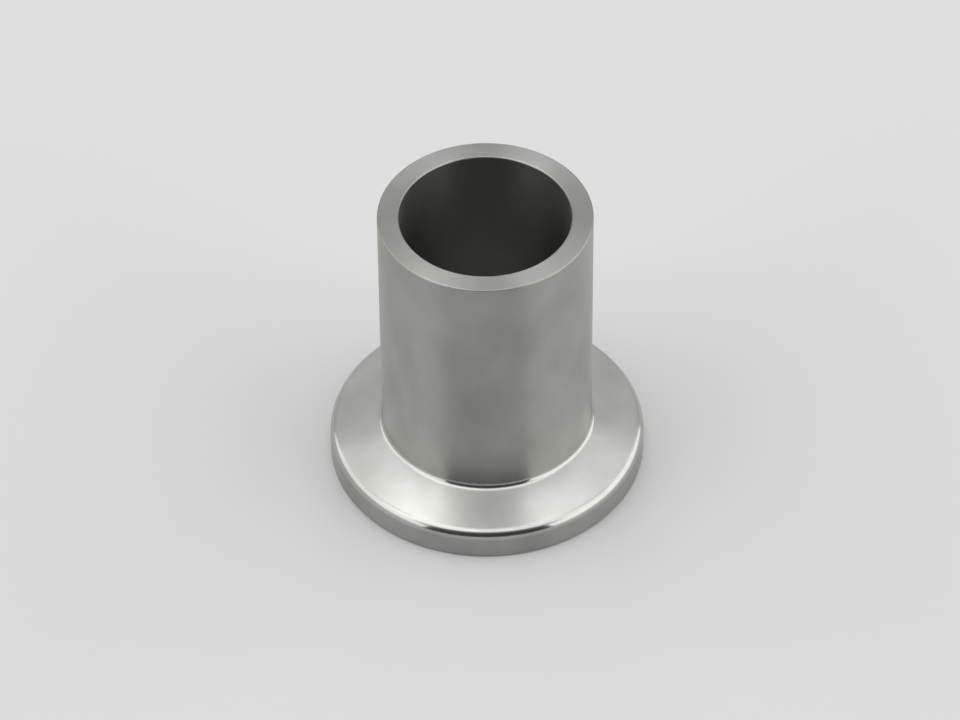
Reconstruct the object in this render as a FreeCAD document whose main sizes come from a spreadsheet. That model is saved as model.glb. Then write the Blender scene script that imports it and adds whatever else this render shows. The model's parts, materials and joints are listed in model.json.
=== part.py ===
"""Vacuum weld flange: a small quick-clamp flange and its weld stub, turned in one piece.

The part stands on its sealing face. The origin is the centre of that face, +Z runs up the tube
to the end that is welded to a pipe or a chamber, and all lengths are millimetres.
"""

import FreeCAD, Part
import os
import Sketcher

NODE = "weld_flange"
SHEET = "sizes"

# The driving dimensions: alias, value, and what it measures. Lengths in mm, angles in degrees.
SIZES = [
    ("overall_length", 30.0, "sealing face to weld end"),
    ("bore_diameter", 16.0, "bore through the tube"),
    ("wall_thickness", 2.0, "wall of the tube"),
    ("flange_diameter", 30.0, "outside of the flange, which a clamp closes over"),
    ("rim_thickness", 3.0, "sealing face to the sharp corner between rim and taper"),
    ("taper_angle", 15.0, "rise of the clamping taper, from the rim in to the tube"),
    ("rim_radius", 1.0, "rounding between rim and taper"),
    ("root_radius", 0.6, "fillet between taper and tube"),
    ("recess_ledge", 0.6, "step in radius from the bore out to the centring recess"),
    ("recess_depth", 3.0, "depth of the centring recess in the sealing face"),
    ("recess_corner_radius", 0.2, "fillet round the recess floor, left by the boring tool"),
    ("recess_edge_break", 0.15, "chamfer round the mouth of the recess"),
    ("face_edge_break", 0.2, "chamfer round the outside of the sealing face"),
    ("end_outer_radius", 0.15, "rounding of the outer edge at the weld end"),
    ("end_bore_radius", 0.15, "rounding of the bore's edge at the weld end"),
]

# An edge is recognised by its radius and height, to within this distance.
SAME_PLACE = 1e-5

# How a sketch refers to its own origin, to the two ends of a line and to a circle's centre.
ORIGIN = (-1, 1)
START, END = 1, 2
CENTRE = 3


def cell(name):
    """One driving dimension, as an expression refers to it."""
    return f"<<{SHEET}>>.{name}"


# Sizes that follow from the driving dimensions. The two roundings at the ends of the taper are
# no larger than it leaves room for.
FLANGE_RADIUS = f"{cell('flange_diameter')} / 2"
BORE_RADIUS = f"{cell('bore_diameter')} / 2"
TUBE_RADIUS = f"{BORE_RADIUS} + {cell('wall_thickness')}"
RECESS_RADIUS = f"{BORE_RADIUS} + {cell('recess_ledge')}"
TAPER_RUN = f"({FLANGE_RADIUS} - ({TUBE_RADIUS}))"
TAPER_TOP = f"{cell('rim_thickness')} + {TAPER_RUN} * tan({cell('taper_angle')})"
RIM_ROUNDING = f"min({cell('rim_radius')}; {TAPER_RUN} / 2; {cell('rim_thickness')} / 2)"
ROOT_FILLET = f"min({cell('root_radius')}; {TAPER_RUN} / 2)"


def make_sheet(doc):
    """The spreadsheet that holds the driving dimensions, one to a row."""
    sheet = doc.addObject("Spreadsheet::Sheet", SHEET)
    for row, (alias, size, meaning) in enumerate(SIZES, start=1):
        sheet.set(f"A{row}", meaning)
        sheet.set(f"B{row}", str(size))
        sheet.setAlias(f"B{row}", alias)
    doc.recompute()
    return sheet


def worked_out(sheet, expression):
    """What an expression comes to at the present sizes, as a plain number."""
    found = sheet.evalExpression(expression)
    return float(getattr(found, "Value", found))


def sketch_on(body, plane, name):
    """An empty sketch on one of the body's own origin planes, such as XZ_Plane."""
    sketch = body.newObject("Sketcher::SketchObject", name)
    support = next(feature for feature in body.Origin.OriginFeatures if feature.Role == plane)
    sketch.AttachmentSupport = (support, [""])
    sketch.MapMode = "FlatFace"
    return sketch


def dimension(sketch, name, expression, kind, *places):
    """Dimensions a sketch, starting from the present size, and binds that to the sheet."""
    size = worked_out(sketch, expression)
    index = sketch.addConstraint(Sketcher.Constraint(kind, *places, size))
    sketch.renameConstraint(index, name)
    sketch.setExpression(f"Constraints.{name}", expression)


def round_corner(sketch, line, name, radius):
    """Rounds the corner at a line's end. The sharp corner stays, as a point to measure to."""
    arc = sketch.GeometryCount
    corner = arc + 1
    trim, keep_corner = True, True
    sketch.fillet(line, END, worked_out(sketch, radius), trim, keep_corner)
    dimension(sketch, name, radius, "Radius", arc)
    return corner, START


def add_turned_blank(doc, body, sheet):
    """The outside, turned from bar: rim, rounded corner, clamping taper, fillet and tube."""
    flange_radius = worked_out(sheet, FLANGE_RADIUS)
    tube_radius = worked_out(sheet, TUBE_RADIUS)
    rim_height = worked_out(sheet, cell("rim_thickness"))
    taper_top = worked_out(sheet, TAPER_TOP)
    length = worked_out(sheet, cell("overall_length"))
    section = [
        FreeCAD.Vector(0, 0),
        FreeCAD.Vector(flange_radius, 0),
        FreeCAD.Vector(flange_radius, rim_height),
        FreeCAD.Vector(tube_radius, taper_top),
        FreeCAD.Vector(tube_radius, length),
        FreeCAD.Vector(0, length),
    ]
    sealing_face, rim, taper, tube, weld_end, centre_line = range(len(section))

    sketch = sketch_on(body, "XZ_Plane", "blank_section")
    for corner, following in zip(section, section[1:] + section[:1]):
        sketch.addGeometry(Part.LineSegment(corner, following))
    for line in range(len(section)):
        following = (line + 1) % len(section)
        sketch.addConstraint(Sketcher.Constraint("Coincident", line, END, following, START))
    for line in (sealing_face, weld_end):
        sketch.addConstraint(Sketcher.Constraint("Horizontal", line))
    for line in (rim, tube, centre_line):
        sketch.addConstraint(Sketcher.Constraint("Vertical", line))
    sketch.addConstraint(Sketcher.Constraint("Coincident", sealing_face, START, *ORIGIN))

    rim_corner = round_corner(sketch, rim, "rim_rounding", RIM_ROUNDING)
    root_corner = round_corner(sketch, taper, "root_fillet", ROOT_FILLET)
    dimension(sketch, "flange_radius", FLANGE_RADIUS, "DistanceX", *ORIGIN, *rim_corner)
    dimension(sketch, "rim_thickness", cell("rim_thickness"), "DistanceY", *ORIGIN, *rim_corner)
    dimension(sketch, "tube_radius", TUBE_RADIUS, "DistanceX", *ORIGIN, *root_corner)
    dimension(sketch, "taper_top", TAPER_TOP, "DistanceY", *ORIGIN, *root_corner)
    dimension(sketch, "length", cell("overall_length"), "DistanceY", *ORIGIN, tube, END)

    blank = body.newObject("PartDesign::Revolution", "turned_blank")
    blank.Profile = sketch
    blank.ReferenceAxis = (sketch, ["V_Axis"])
    blank.Angle = 360
    doc.recompute()


def add_round_pocket(doc, body, name, radius, depth=None):
    """A round pocket on the centre line, cut up from the sealing face, or right through."""
    volume_before = body.Shape.Volume
    sketch = sketch_on(body, "XY_Plane", f"{name}_circle")
    centre, up = FreeCAD.Vector(0, 0, 0), FreeCAD.Vector(0, 0, 1)
    circle = sketch.addGeometry(Part.Circle(centre, up, worked_out(sketch, radius)))
    sketch.addConstraint(Sketcher.Constraint("Coincident", circle, CENTRE, *ORIGIN))
    dimension(sketch, "radius", radius, "Radius", circle)

    pocket = body.newObject("PartDesign::Pocket", name)
    pocket.Profile = sketch
    pocket.Reversed = True
    if depth is None:
        pocket.Type = "ThroughAll"
    else:
        pocket.Type = "Length"
        pocket.setExpression("Length", depth)
    doc.recompute()
    if body.Shape.Volume >= volume_before:
        raise RuntimeError(f"{name} cut nothing")


def round_edge(shape, radius, height):
    """The name of the full circle round the centre line with this radius and height."""
    for number, edge in enumerate(shape.Edges, start=1):
        curve = edge.Curve
        if not isinstance(curve, Part.Circle):
            continue
        if abs(curve.Radius - radius) < SAME_PLACE and abs(curve.Center.z - height) < SAME_PLACE:
            return f"Edge{number}"
    raise RuntimeError(f"no round edge of radius {radius:.3f} at height {height:.3f}")


def break_edge(doc, body, kind, name, size, radius, height):
    """Rounds (Fillet) or bevels (Chamfer) the edge with this radius and height."""
    base = body.Tip
    edge = round_edge(base.Shape, worked_out(base, radius), worked_out(base, height))
    broken = body.newObject(f"PartDesign::{kind}", name)
    broken.Base = (base, [edge])
    broken.setExpression("Radius" if kind == "Fillet" else "Size", cell(size))
    doc.recompute()


def build(doc):
    """The whole part: one body whose features follow the spreadsheet."""
    sheet = make_sheet(doc)
    body = doc.addObject("PartDesign::Body", NODE)
    body.Label = NODE
    body.Placement = FreeCAD.Placement()
    add_turned_blank(doc, body, sheet)
    add_round_pocket(doc, body, "bore", BORE_RADIUS)
    add_round_pocket(doc, body, "centring_recess", RECESS_RADIUS, cell("recess_depth"))

    sealing_face, weld_end, recess_floor = "0", cell("overall_length"), cell("recess_depth")
    for kind, name, size, radius, height in [
        ("Fillet", "recess_corner", "recess_corner_radius", RECESS_RADIUS, recess_floor),
        ("Chamfer", "recess_edge", "recess_edge_break", RECESS_RADIUS, sealing_face),
        ("Chamfer", "face_edge", "face_edge_break", FLANGE_RADIUS, sealing_face),
        ("Fillet", "weld_end_outer_edge", "end_outer_radius", TUBE_RADIUS, weld_end),
        ("Fillet", "weld_end_bore_edge", "end_bore_radius", BORE_RADIUS, weld_end),
    ]:
        break_edge(doc, body, kind, name, size, radius, height)
    return body


def check(doc, body):
    """Stops if any feature failed, or if the body isn't one valid solid."""
    failed = [feature.Name for feature in doc.Objects if {"Invalid", "Error"} & set(feature.State)]
    if failed:
        raise RuntimeError(f"features that failed: {', '.join(failed)}")
    shape = body.Shape
    if shape.isNull() or not shape.isValid() or len(shape.Solids) != 1:
        raise RuntimeError(f"{body.Label} isn't one valid solid")


document = FreeCAD.newDocument("vacuum_weld_flange")
# Unshortened edge names, so that each fillet and chamfer keeps its edge when a size changes.
document.UseHasher = False
flange = build(document)
check(document, flange)
os.makedirs("parts", exist_ok=True)
flange.Shape.exportStep(os.path.join("parts", f"{flange.Label}.step"))
print(f"{flange.Label}: {flange.Shape.Volume:.1f} mm3, {len(flange.Shape.Faces)} faces")
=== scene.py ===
"""Looks of the vacuum weld flange: turned stainless steel on a pale floor, in soft studio light.

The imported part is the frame, in metres. One piece of the same form stands for its only node. It is
spun from a section with finer roundings, so that reflections run smoothly round it.
"""

import json
import math
from collections import namedtuple

import bmesh
import bpy
from mathutils import Matrix, Vector


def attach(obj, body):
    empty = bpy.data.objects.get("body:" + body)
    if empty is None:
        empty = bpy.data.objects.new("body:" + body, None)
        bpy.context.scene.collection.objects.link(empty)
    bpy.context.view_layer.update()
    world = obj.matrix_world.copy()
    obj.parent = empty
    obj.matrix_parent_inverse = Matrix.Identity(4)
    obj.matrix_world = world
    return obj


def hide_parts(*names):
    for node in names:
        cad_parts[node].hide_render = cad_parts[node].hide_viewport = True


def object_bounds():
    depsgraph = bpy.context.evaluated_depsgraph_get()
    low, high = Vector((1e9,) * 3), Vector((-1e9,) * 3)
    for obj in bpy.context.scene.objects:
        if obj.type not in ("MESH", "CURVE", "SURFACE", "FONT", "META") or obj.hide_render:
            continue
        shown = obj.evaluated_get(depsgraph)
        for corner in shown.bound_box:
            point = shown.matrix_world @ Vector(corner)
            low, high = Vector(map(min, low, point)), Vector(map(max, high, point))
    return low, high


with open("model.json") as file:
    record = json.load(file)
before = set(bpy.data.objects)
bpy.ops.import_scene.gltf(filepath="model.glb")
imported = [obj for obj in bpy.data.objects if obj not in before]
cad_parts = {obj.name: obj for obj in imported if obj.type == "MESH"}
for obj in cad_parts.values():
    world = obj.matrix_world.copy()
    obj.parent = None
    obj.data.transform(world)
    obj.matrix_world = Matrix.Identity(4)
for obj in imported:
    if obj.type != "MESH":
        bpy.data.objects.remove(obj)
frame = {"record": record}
cad_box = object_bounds()

NODE = "weld_flange"
BODY = "root"

MM = 0.001

# Sizes of the turned section that the frame's mounts don't give.
RIM_THICKNESS = 3.0 * MM
TAPER_ANGLE = math.radians(15)
RIM_RADIUS = 1.0 * MM
ROOT_RADIUS = 0.6 * MM
RECESS_DEPTH = 3.0 * MM
RECESS_CORNER_RADIUS = 0.2 * MM
RECESS_EDGE_BREAK = 0.15 * MM
FACE_EDGE_BREAK = 0.2 * MM
END_OUTER_RADIUS = 0.15 * MM
END_BORE_RADIUS = 0.15 * MM

# Beside the flange the tube is turned, and from this height up it keeps the finish of drawn tube,
# whose dull tone is partly painted shade.
DRAWN_FROM = 13.0 * MM

# How finely the piece is divided: flats round the centre line, and the turn of each step of an arc.
ROUND_STEPS = 288
ARC_STEP = math.radians(6)

# The shading of a corner ends this far along the flat side at either end of it.
HOLDING_DISTANCE = 0.1 * MM

# An edge that turns by more than this stays crisp.
CRISP_ANGLE = math.radians(30)

# Points closer together than this are one.
SAME_POINT = 0.0001 * MM

# A corner of the section: its place, its rounding, and the finish just before, on and after it.
Corner = namedtuple("Corner", "radius height rounding bevelled before here after")

# Over so many steps from either end of an arc, the finish of the side fades into the arc's own.
FADE_STEPS = 4

# How the faces are finished: each finish is a share of the dull tone, and a roughness. All but the
# polish of two narrow roundings are kept rougher than 0.274. The renderer's denoising takes
# smoother steel for a mirror, and leaves dashes where a finish wanders across that value.
# The dull tone is partly a duller finish and partly painted shade: on the tube and the rim's outer
# wall it stands for the darker floor that they reflect.
Finish = namedtuple("Finish", "dullness roughness")
POLISHED = Finish(0.4, 0.17)
FINE_TURNED = Finish(0.0, 0.305)
TURNED = Finish(0.72, 0.31)
# The rim's outer wall takes the whole dull tone, painted shade for the shadowed floor close under
# it.
SHADED_TURNED_RIM = Finish(1.0, 0.35)
TURNED_ROOT = Finish(0.9, 0.31)
# The drawn tube's whole dull tone is partly its duller skin and partly painted shade for the darker
# floor it reflects.
DRAWN_AND_SHADED = Finish(1.0, 0.4)
BORED = Finish(1.0, 0.31)

# The map that unrolls the steel along its section and round the centre line.
BAKE_MAP = "OFBake"

# The steel's tones, and how far its reflections are drawn out across the turning marks.
BRIGHT_TONE = (0.579, 0.583, 0.570, 1)
# The dull tone is partly painted shade, darkening the tube and the rim's wall for the darker floor
# they reflect.
DULL_AND_SHADED_TONE = (0.375, 0.380, 0.363, 1)
STEEL_STRETCH = 0.85

# Faint clouds, about 4 mm wide and 7 mm tall. The tone is multiplied by a colour between the dark
# one and the pale one. Where the clouds are pale, the steel is also a little smoother.
CLOUDS_PER_METRE = (240, 240, 150)
CLOUD_DETAIL = 3
CLOUD_DARK = (0.9, 0.9, 0.87, 1)
CLOUD_PALE = (1.11, 1.11, 1.1, 1)
CLOUD_ROUGHNESS = 0.015

# Turning marks, about nine to a millimetre: so many along the whole outline of the section, and
# slowly changing across the part.
MARKS_ALONG_OUTLINE = 648
MARKS_CHANGE_PER_METRE = 60
MARK_DETAIL = 2
MARK_ROUGHNESS = 0.00625
MARK_DEPTH = 0.00005 * MM

# A noise runs from 0 to 1, but lies mostly between these two.
NOISE_LOW = 0.25
NOISE_HIGH = 0.75

# The camera, fitted to the circles of the part: it stands in front, on -Y, and looks down.
LENS_MM = 196.75
SENSOR_MM = 36.0
CAMERA_DISTANCE = 496.67 * MM
CAMERA_ELEVATION = math.radians(44.751)
CAMERA_ROLL = math.radians(-0.548)
CAMERA_TARGET = Vector((-0.609 * MM, 0, 11.279 * MM))

# The studio.
FLOOR_RADIUS = 3.0
FLOOR_STEPS = 96
FLOOR_COLOUR = (0.64, 0.64, 0.64, 1)
WORLD_COLOUR = (1, 1, 1, 1)
WORLD_BRIGHTNESS = 0.58
WALL_DISTANCE = 0.6
CEILING_HEIGHT = 0.6
LAMP_HEIGHT = 0.57
CARD_WIDTH = 0.76
CARD_HEIGHT = 0.52
CARD_DISTANCE = 0.45
CARD_COLOUR = (0.05, 0.05, 0.05, 1)


def mount_radius(name):
    """The radius that the record gives for a round mount."""
    mounts = {mount["name"]: mount for mount in frame["record"]["mounts"]}
    return mounts[name]["dims"]["r_mm"] * MM


def section_corners():
    """The corners of half a cut through the part, starting where the bore meets the recess."""
    bore = mount_radius("through_bore")
    tube = mount_radius("weld_tube")
    rim = mount_radius("flange_rim")
    recess = mount_radius("centring_recess")
    weld_end = cad_box[1].z
    taper_top = RIM_THICKNESS + (rim - tube) * math.tan(TAPER_ANGLE)
    return [
        Corner(bore, RECESS_DEPTH, 0, False, BORED, TURNED, TURNED),
        Corner(recess, RECESS_DEPTH, RECESS_CORNER_RADIUS, False, TURNED, TURNED, TURNED),
        Corner(recess, 0, RECESS_EDGE_BREAK, True, TURNED, FINE_TURNED, FINE_TURNED),
        Corner(rim, 0, FACE_EDGE_BREAK, True, FINE_TURNED, FINE_TURNED, SHADED_TURNED_RIM),
        Corner(rim, RIM_THICKNESS, RIM_RADIUS, False, SHADED_TURNED_RIM, POLISHED, FINE_TURNED),
        Corner(tube, taper_top, ROOT_RADIUS, False, FINE_TURNED, POLISHED, TURNED_ROOT),
        Corner(tube, DRAWN_FROM, 0, False, DRAWN_AND_SHADED, DRAWN_AND_SHADED, DRAWN_AND_SHADED),
        Corner(tube, weld_end, END_OUTER_RADIUS, False, DRAWN_AND_SHADED, DRAWN_AND_SHADED, TURNED),
        Corner(bore, weld_end, END_BORE_RADIUS, False, TURNED, DRAWN_AND_SHADED, BORED),
    ]


def rounded(before, corner, after, radius, bevelled):
    """The points that take the place of a sharp corner: an arc, or the two ends of a bevel."""
    if radius == 0:
        return [corner]
    back = (before - corner).normalized()
    ahead = (after - corner).normalized()
    half_angle = back.angle(ahead) / 2
    centre = corner + (back + ahead).normalized() * radius / math.sin(half_angle)
    first = (corner + back * radius / math.tan(half_angle) - centre).normalized()
    last = (corner + ahead * radius / math.tan(half_angle) - centre).normalized()
    steps = 1 if bevelled else math.ceil(first.angle(last) / ARC_STEP)
    return [centre + radius * first.slerp(last, step / steps) for step in range(steps + 1)]


def finish_on(corner, step, steps):
    """The finish at a step of a corner. The two ends of an arc have the finish of their side, and
    its middle has its own. A bevel or a sharp corner has no middle."""
    own_share = min(step, steps - step, FADE_STEPS) / FADE_STEPS
    side = corner.before if step < steps - step else corner.after
    return Finish(*[there + (own - there) * own_share for there, own in zip(side, corner.here)])


def section_outline():
    """The whole outline as (point, finish). Each flat side has a point just inside either end, so
    that the shading of the corners stops there. Along the side, one finish turns into the other."""
    corners = section_corners()
    places = [Vector((corner.radius, corner.height)) for corner in corners]
    turns = []
    for number, corner in enumerate(corners):
        after = places[(number + 1) % len(places)]
        turns.append(
            rounded(places[number - 1], places[number], after, corner.rounding, corner.bevelled)
        )
    outline = []
    for number, corner in enumerate(corners):
        steps = len(turns[number]) - 1
        for step, point in enumerate(turns[number]):
            outline.append((point, finish_on(corner, step, steps)))
        following = (number + 1) % len(corners)
        side_start, side_end = turns[number][-1], turns[following][0]
        inward = (side_end - side_start).normalized() * HOLDING_DISTANCE
        outline.append((side_start + inward, corner.after))
        outline.append((side_end - inward, corners[following].before))
    return outline


def spin_outline(outline):
    """The solid of revolution as a bmesh, the layer that holds each vertex's distance along the
    outline, and the length of the outline. Each vertex also keeps its finish."""
    turned = bmesh.new()
    new_layer = turned.verts.layers.float.new
    along, dullness_and_shade, roughness = [new_layer(name) for name in ("along", *Finish._fields)]
    ring = []
    distance = 0
    for number, (point, finish) in enumerate(outline):
        if number:
            distance += (point - outline[number - 1][0]).length
        corner = turned.verts.new((0, point.x, point.y))
        corner[along] = distance
        # The dull share carries painted shade as well as the duller finish.
        corner[dullness_and_shade], corner[roughness] = finish
        ring.append(corner)
    lines = [turned.edges.new(pair) for pair in zip(ring, ring[1:] + ring[:1])]
    bmesh.ops.spin(
        turned,
        geom=ring + lines,
        axis=(0, 0, 1),
        angle=math.tau,
        steps=ROUND_STEPS,
        use_merge=True,
    )
    bmesh.ops.remove_doubles(turned, verts=turned.verts, dist=SAME_POINT)
    bmesh.ops.recalc_face_normals(turned, faces=turned.faces)
    return turned, along, distance + (outline[0][0] - outline[-1][0]).length


def unroll(turned, along, around_section):
    """The bake map: U runs along the section and V round the centre line, from the back. A face
    that lies across either seam is kept whole, past the map's edge."""
    bake_map = turned.loops.layers.uv.new(BAKE_MAP)
    for face in turned.faces:
        middle = face.calc_center_median()
        face_turn = math.atan2(middle.x, -middle.y) / math.tau
        furthest = max(corner.vert[along] for corner in face.loops)
        for corner in face.loops:
            place = corner.vert.co
            turn = math.atan2(place.x, -place.y) / math.tau
            turn += round(face_turn - turn)
            reach = corner.vert[along]
            if furthest - reach > around_section / 2:
                reach += around_section
            corner[bake_map].uv = (reach / around_section, turn + 0.5)


def add_piece(name, form):
    """A bmesh as an object in the scene."""
    mesh = bpy.data.meshes.new(name)
    form.to_mesh(mesh)
    form.free()
    piece = bpy.data.objects.new(name, mesh)
    bpy.context.scene.collection.objects.link(piece)
    return piece


def make_flange():
    """The finished piece: one closed surface with soft roundings and crisp cut edges."""
    turned, along, around_section = spin_outline(section_outline())
    unroll(turned, along, around_section)
    for face in turned.faces:
        face.smooth = True
    for edge in turned.edges:
        edge.smooth = edge.calc_face_angle() < CRISP_ANGLE
    return add_piece("turned_flange", turned)


def new_material(name):
    """An empty node material with its output, as (material, nodes, links, output)."""
    material = bpy.data.materials.new(name)
    material.use_nodes = True
    nodes = material.node_tree.nodes
    nodes.clear()
    output = nodes.new("ShaderNodeOutputMaterial")
    return material, nodes, material.node_tree.links, output


def matt_material(name, colour):
    """A plain matt colour."""
    material, nodes, links, output = new_material(name)
    matt = nodes.new("ShaderNodeBsdfDiffuse")
    matt.inputs["Color"].default_value = colour
    links.new(matt.outputs["BSDF"], output.inputs["Surface"])
    return material


def add_noise(nodes, links, vector, stretch, detail):
    """A noise, read at a place whose three numbers are first multiplied by the stretch."""
    stretched = nodes.new("ShaderNodeVectorMath")
    stretched.operation = "MULTIPLY"
    stretched.inputs[1].default_value = stretch
    links.new(vector, stretched.inputs[0])
    noise = nodes.new("ShaderNodeTexNoise")
    noise.inputs["Scale"].default_value = 1
    noise.inputs["Detail"].default_value = detail
    links.new(stretched.outputs["Vector"], noise.inputs["Vector"])
    return noise.outputs["Fac"]


def add_spread(nodes, links, noise, low, high):
    """A noise, spread so that it lies mostly between two other numbers."""
    spread = nodes.new("ShaderNodeMapRange")
    spread.clamp = False
    for socket, number in [
        ("From Min", NOISE_LOW),
        ("From Max", NOISE_HIGH),
        ("To Min", low),
        ("To Max", high),
    ]:
        spread.inputs[socket].default_value = number
    links.new(noise, spread.inputs["Value"])
    return spread.outputs["Result"]


def add_attribute(nodes, name):
    """A number that the mesh carries from point to point."""
    attribute = nodes.new("ShaderNodeAttribute")
    attribute.attribute_name = name
    return attribute.outputs["Fac"]


def add_sum(nodes, links, *values):
    """Several values added up."""
    total = values[0]
    for value in values[1:]:
        adding = nodes.new("ShaderNodeMath")
        adding.operation = "ADD"
        links.new(total, adding.inputs[0])
        links.new(value, adding.inputs[1])
        total = adding.outputs[0]
    return total


def add_mix(nodes, links, blend, factor, first, second):
    """A colour mix. Each of its three inputs is a socket or a value."""
    mix = nodes.new("ShaderNodeMix")
    mix.data_type = "RGBA"
    mix.blend_type = blend
    for socket, given in [("Factor", factor), ("A", first), ("B", second)]:
        target = next(entry for entry in mix.inputs if entry.name == socket and entry.enabled)
        if isinstance(given, bpy.types.NodeSocket):
            links.new(given, target)
        else:
            target.default_value = given
    return next(result for result in mix.outputs if result.enabled)


def split_axes(nodes, links, vector):
    """The three numbers of a vector, by their axes."""
    axes = nodes.new("ShaderNodeSeparateXYZ")
    links.new(vector, axes.inputs["Vector"])
    return axes.outputs


def add_turning_marks(nodes, links, place):
    """Fine rings round the centre line, close together along the section's outline."""
    unrolled = nodes.new("ShaderNodeUVMap")
    unrolled.uv_map = BAKE_MAP
    outline = split_axes(nodes, links, unrolled.outputs["UV"])
    across = split_axes(nodes, links, place)
    rings = nodes.new("ShaderNodeCombineXYZ")
    links.new(outline["X"], rings.inputs["X"])
    links.new(across["X"], rings.inputs["Y"])
    links.new(across["Y"], rings.inputs["Z"])
    stretch = (MARKS_ALONG_OUTLINE, MARKS_CHANGE_PER_METRE, MARKS_CHANGE_PER_METRE)
    return add_noise(nodes, links, rings.outputs["Vector"], stretch, MARK_DETAIL)


def turned_steel():
    """Fine turned stainless steel, bright on the flange and satin on the tube. The tube and the
    rim's wall are darker partly from their finish and partly by painted shade.
    """
    material, nodes, links, output = new_material("turned_stainless_steel")
    steel = nodes.new("ShaderNodeBsdfPrincipled")
    links.new(steel.outputs["BSDF"], output.inputs["Surface"])
    steel.inputs["Metallic"].default_value = 1
    steel.inputs["Anisotropic"].default_value = STEEL_STRETCH
    lay = nodes.new("ShaderNodeTangent")
    lay.direction_type = "UV_MAP"
    lay.uv_map = BAKE_MAP
    links.new(lay.outputs["Tangent"], steel.inputs["Tangent"])

    place = nodes.new("ShaderNodeTexCoord").outputs["Object"]
    clouds = add_noise(nodes, links, place, CLOUDS_PER_METRE, CLOUD_DETAIL)
    marks = add_turning_marks(nodes, links, place)
    dullness_and_shade, roughness = [add_attribute(nodes, name) for name in Finish._fields]

    # Painted shade: the dull share darkens the tube and the rim's wall for the darker floor they
    # reflect.
    tone = add_mix(nodes, links, "MIX", dullness_and_shade, BRIGHT_TONE, DULL_AND_SHADED_TONE)
    paleness = add_spread(nodes, links, clouds, 0, 1)
    clouding = add_mix(nodes, links, "MIX", paleness, CLOUD_DARK, CLOUD_PALE)
    links.new(add_mix(nodes, links, "MULTIPLY", 1, tone, clouding), steel.inputs["Base Color"])

    cloud_roughness = add_spread(nodes, links, clouds, CLOUD_ROUGHNESS, -CLOUD_ROUGHNESS)
    mark_roughness = add_spread(nodes, links, marks, -MARK_ROUGHNESS, MARK_ROUGHNESS)
    total_roughness = add_sum(nodes, links, roughness, cloud_roughness, mark_roughness)
    links.new(total_roughness, steel.inputs["Roughness"])

    relief = nodes.new("ShaderNodeBump")
    relief.inputs["Strength"].default_value = 1
    relief.inputs["Distance"].default_value = MARK_DEPTH
    links.new(marks, relief.inputs["Height"])
    links.new(relief.outputs["Normal"], steel.inputs["Normal"])
    return material


def make_floor():
    """A wide round floor under the part."""
    disc = bmesh.new()
    bmesh.ops.create_circle(disc, cap_ends=True, segments=FLOOR_STEPS, radius=FLOOR_RADIUS)
    floor = add_piece("floor", disc)
    floor.data.materials.append(matt_material("pale_floor", FLOOR_COLOUR))


def add_dark_card():
    """A dark card behind the camera, which puts the dark lines into the steel."""
    stand = Matrix.Translation((0, -CARD_DISTANCE, CARD_HEIGHT / 2))
    upright = Matrix.Rotation(math.pi / 2, 4, "X")
    trimmed = Matrix.Diagonal((CARD_WIDTH, CARD_HEIGHT, 1, 1))
    sheet = bmesh.new()
    # The size is half a side, so the sheet is 1 m square before it is trimmed.
    bmesh.ops.create_grid(
        sheet, x_segments=1, y_segments=1, size=0.5, matrix=stand @ upright @ trimmed
    )
    card = add_piece("dark_card", sheet)
    card.data.materials.append(matt_material("black_felt", CARD_COLOUR))
    card.visible_camera = False


def add_soft_box(name, centre, facing, width, height, brightness):
    """A soft box, which the camera doesn't see. Its power goes by its area, so boxes of the same
    brightness look equally bright whatever their size."""
    light = bpy.data.lights.new(name, "AREA")
    light.shape = "RECTANGLE"
    light.size = width
    light.size_y = height
    light.energy = brightness * math.pi * width * height
    box = bpy.data.objects.new(name, light)
    turn = Vector(facing).to_track_quat("-Z", "Y").to_matrix().to_4x4()
    box.matrix_world = Matrix.Translation(centre) @ turn
    box.visible_camera = False
    bpy.context.scene.collection.objects.link(box)


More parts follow.
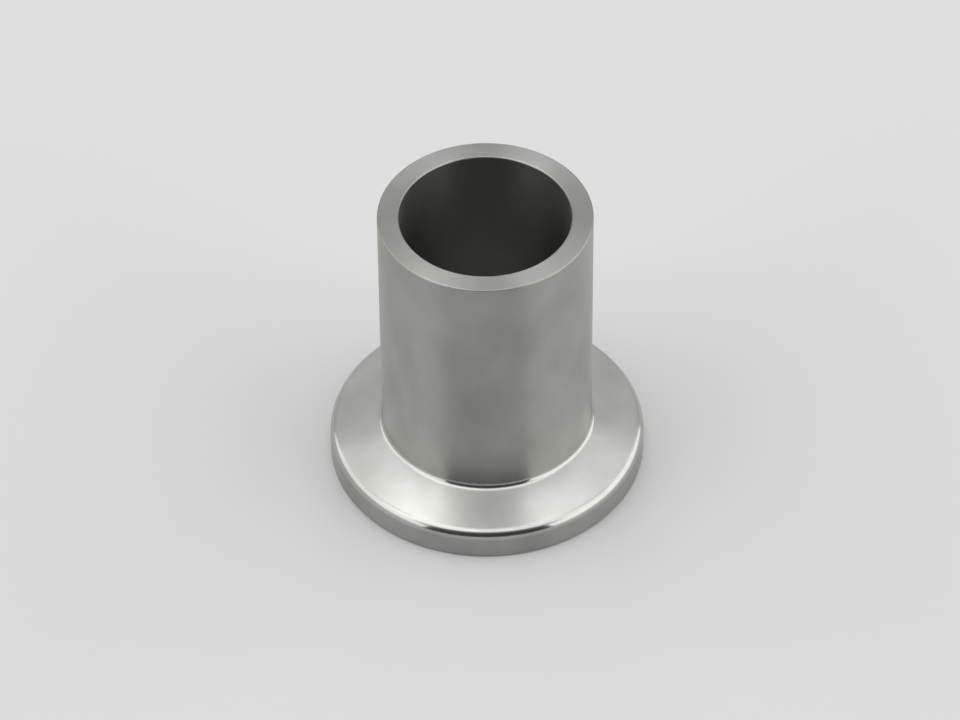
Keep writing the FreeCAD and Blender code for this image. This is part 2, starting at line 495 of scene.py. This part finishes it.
def light_the_studio():
    """Pale surroundings, soft boxes at both sides and overhead, and the dark card."""
    world = bpy.data.worlds.new("pale_room")
    world.use_nodes = True
    background = world.node_tree.nodes["Background"]
    background.inputs["Color"].default_value = WORLD_COLOUR
    background.inputs["Strength"].default_value = WORLD_BRIGHTNESS
    bpy.context.scene.world = world
    right, left, down = (1, 0, 0), (-1, 0, 0), (0, 0, -1)
    for name, centre, facing, width, height, brightness in [
        ("left_wall", (-WALL_DISTANCE, -0.105, 0.37), right, 1.21, 0.46, 0.96),
        ("right_wall", (WALL_DISTANCE, -0.095, 0.33), left, 1.23, 0.54, 1.09),
        ("front_left_ceiling", (-0.32, -0.185, CEILING_HEIGHT), down, 0.56, 0.37, 1.3),
        ("front_right_ceiling", (0.28, -0.185, CEILING_HEIGHT), down, 0.64, 0.37, 0.93),
        ("left_ceiling", (-0.335, 0.245, CEILING_HEIGHT), down, 0.53, 0.49, 0.5),
        ("right_ceiling", (0.335, 0.255, CEILING_HEIGHT), down, 0.53, 0.51, 0.33),
        ("left_lamp", (-0.122, 0.215, LAMP_HEIGHT), down, 0.116, 0.33, 1.88),
        ("right_lamp", (0.112, 0.215, LAMP_HEIGHT), down, 0.092, 0.33, 1.78),
    ]:
        add_soft_box(name, centre, facing, width, height, brightness)
    add_dark_card()


def place_camera():
    """The photograph's own viewpoint."""
    lens = bpy.data.cameras.new("camera")
    lens.lens = LENS_MM
    lens.sensor_width = SENSOR_MM
    camera = bpy.data.objects.new("camera", lens)
    looking_down = Matrix.Rotation(math.pi / 2 - CAMERA_ELEVATION, 4, "X")
    rolled = looking_down @ Matrix.Rotation(CAMERA_ROLL, 4, "Z")
    away = Vector((0, -math.cos(CAMERA_ELEVATION), math.sin(CAMERA_ELEVATION)))
    camera.matrix_world = Matrix.Translation(CAMERA_TARGET + away * CAMERA_DISTANCE) @ rolled
    bpy.context.scene.collection.objects.link(camera)
    bpy.context.scene.camera = camera


place_camera()
flange = make_flange()
flange.data.materials.append(turned_steel())
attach(flange, BODY)
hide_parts(NODE)
make_floor()
light_the_studio()
bpy.context.scene.view_settings.view_transform = "Standard"
